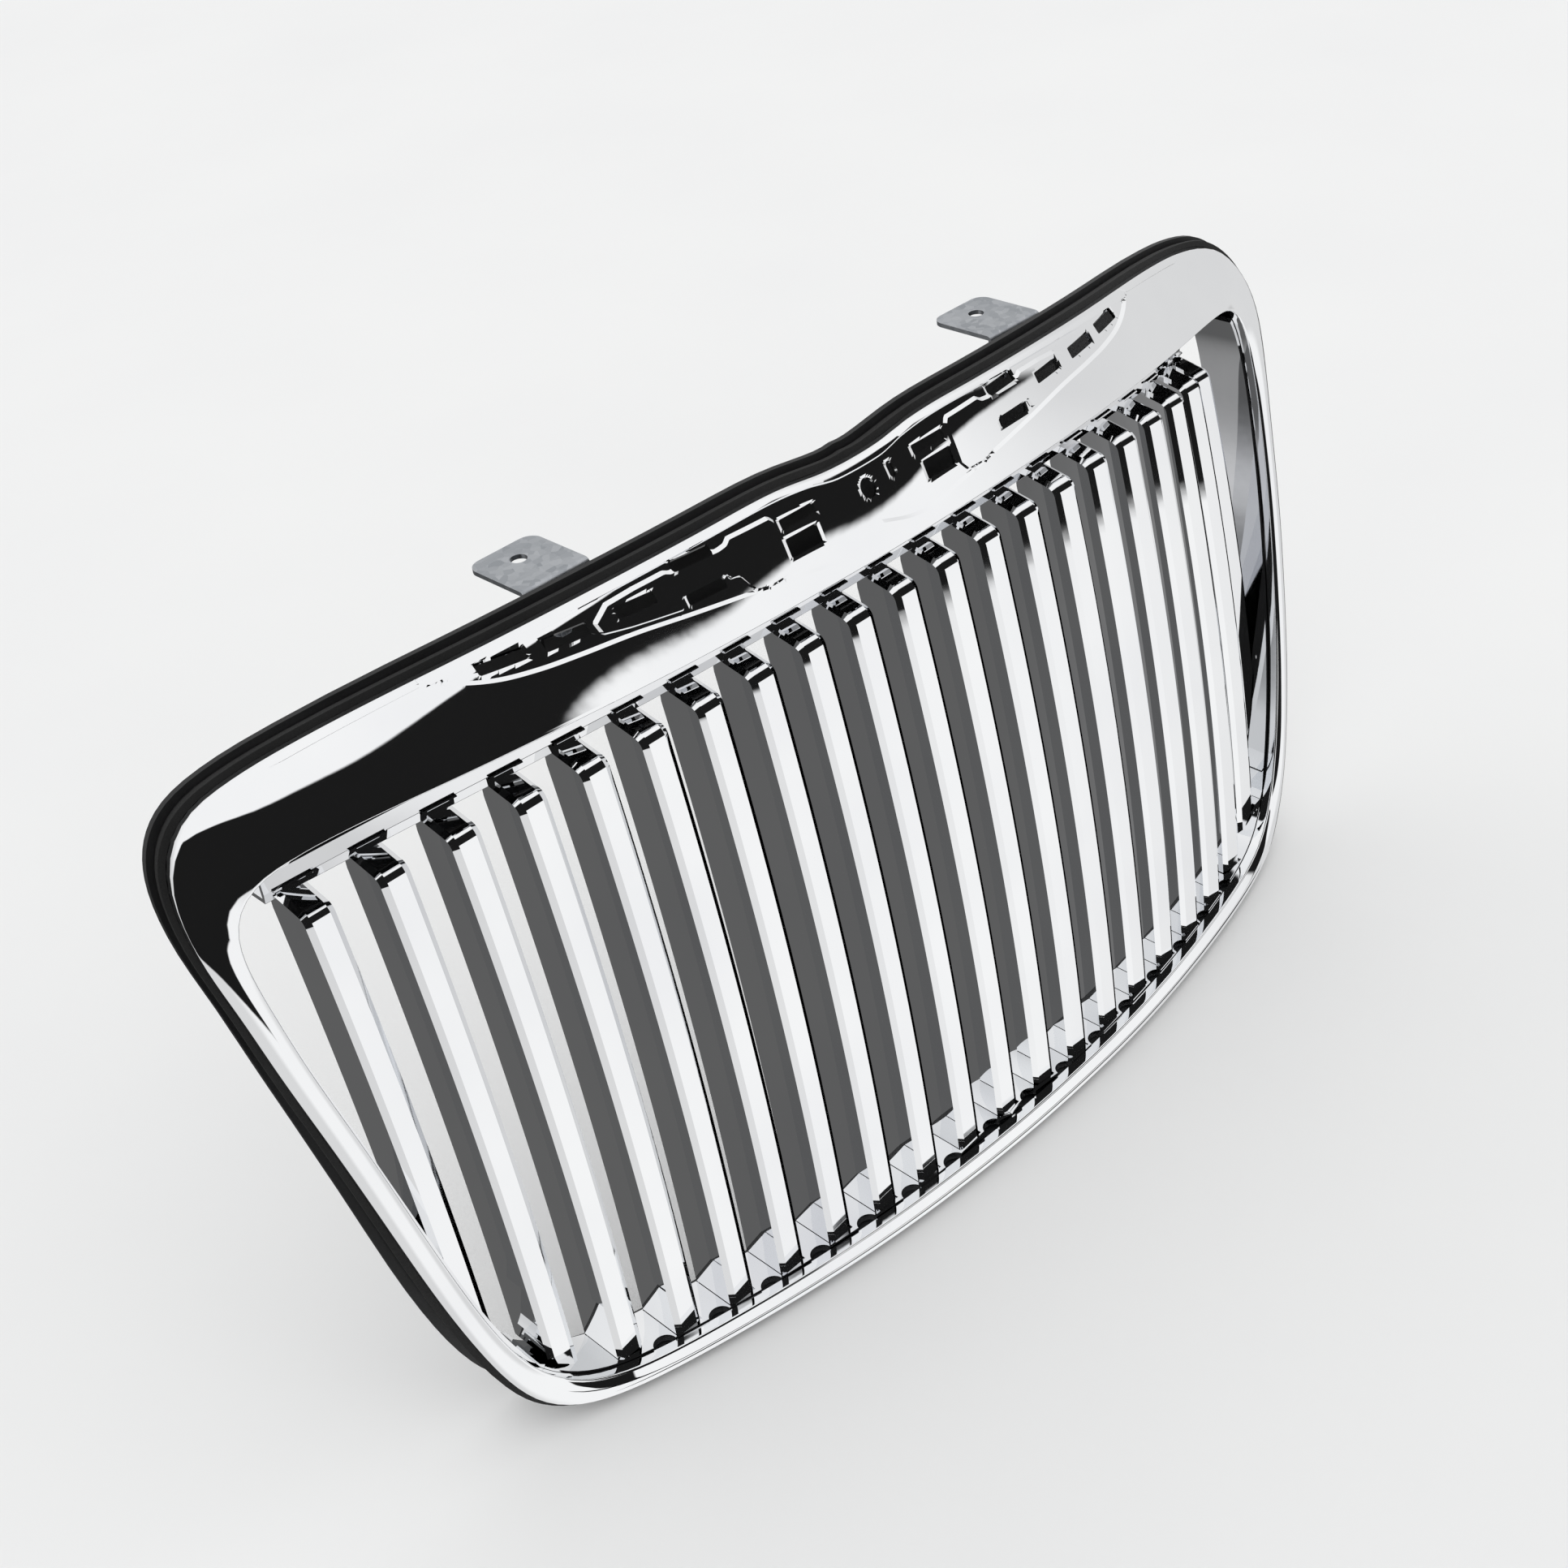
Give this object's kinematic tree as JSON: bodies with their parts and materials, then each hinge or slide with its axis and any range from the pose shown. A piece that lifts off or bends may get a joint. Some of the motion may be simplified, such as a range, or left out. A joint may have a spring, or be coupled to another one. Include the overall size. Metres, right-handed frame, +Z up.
{
  "type": "car front grille",
  "caption": "Bowed chrome car front grille with upright blades between two rails, a wide top band with a badge pocket and a black carrier behind.",
  "frame": {"origin": "middle of the badge bore, on the plane of symmetry", "axes": "+X to the right seen from the front, +Y to the rear, +Z up"},
  "size_m": [0.812, 0.1694, 0.4392],
  "materials": {
    "chrome_plating": "bright chrome-plated ABS",
    "black_nylon": "moulded black glass-filled nylon",
    "seal_rubber": "black EPDM rubber",
    "bracket_steel": "zinc-plated sheet steel",
    "fastener_steel": "zinc-plated steel",
    "spring_steel": "dark phosphated spring steel"
  },
  "bodies": {
    "root": {"surround": "chrome_plating", "upper_rail": "chrome_plating", "lower_rail": "chrome_plating", "side_rail_left": "chrome_plating", "side_rail_right": "chrome_plating", "carrier": "black_nylon", "edge_seal": "seal_rubber", "bracket_left": "bracket_steel", "bracket_right": "bracket_steel", "carrier_screws": "fastener_steel", "bracket_screws": "fastener_steel", "bracket_nuts": "fastener_steel", "lower_clips": "spring_steel", "slat_01": "chrome_plating", "slat_02": "chrome_plating", "slat_03": "chrome_plating", "slat_04": "chrome_plating", "slat_05": "chrome_plating", "slat_06": "chrome_plating", "slat_07": "chrome_plating", "slat_08": "chrome_plating", "slat_09": "chrome_plating", "slat_10": "chrome_plating", "slat_11": "chrome_plating", "slat_12": "chrome_plating", "slat_13": "chrome_plating", "slat_14": "chrome_plating", "slat_15": "chrome_plating", "slat_16": "chrome_plating", "slat_17": "chrome_plating", "slat_18": "chrome_plating", "slat_19": "chrome_plating", "slat_20": "chrome_plating", "slat_21": "chrome_plating"}
  },
  "joints": []
}
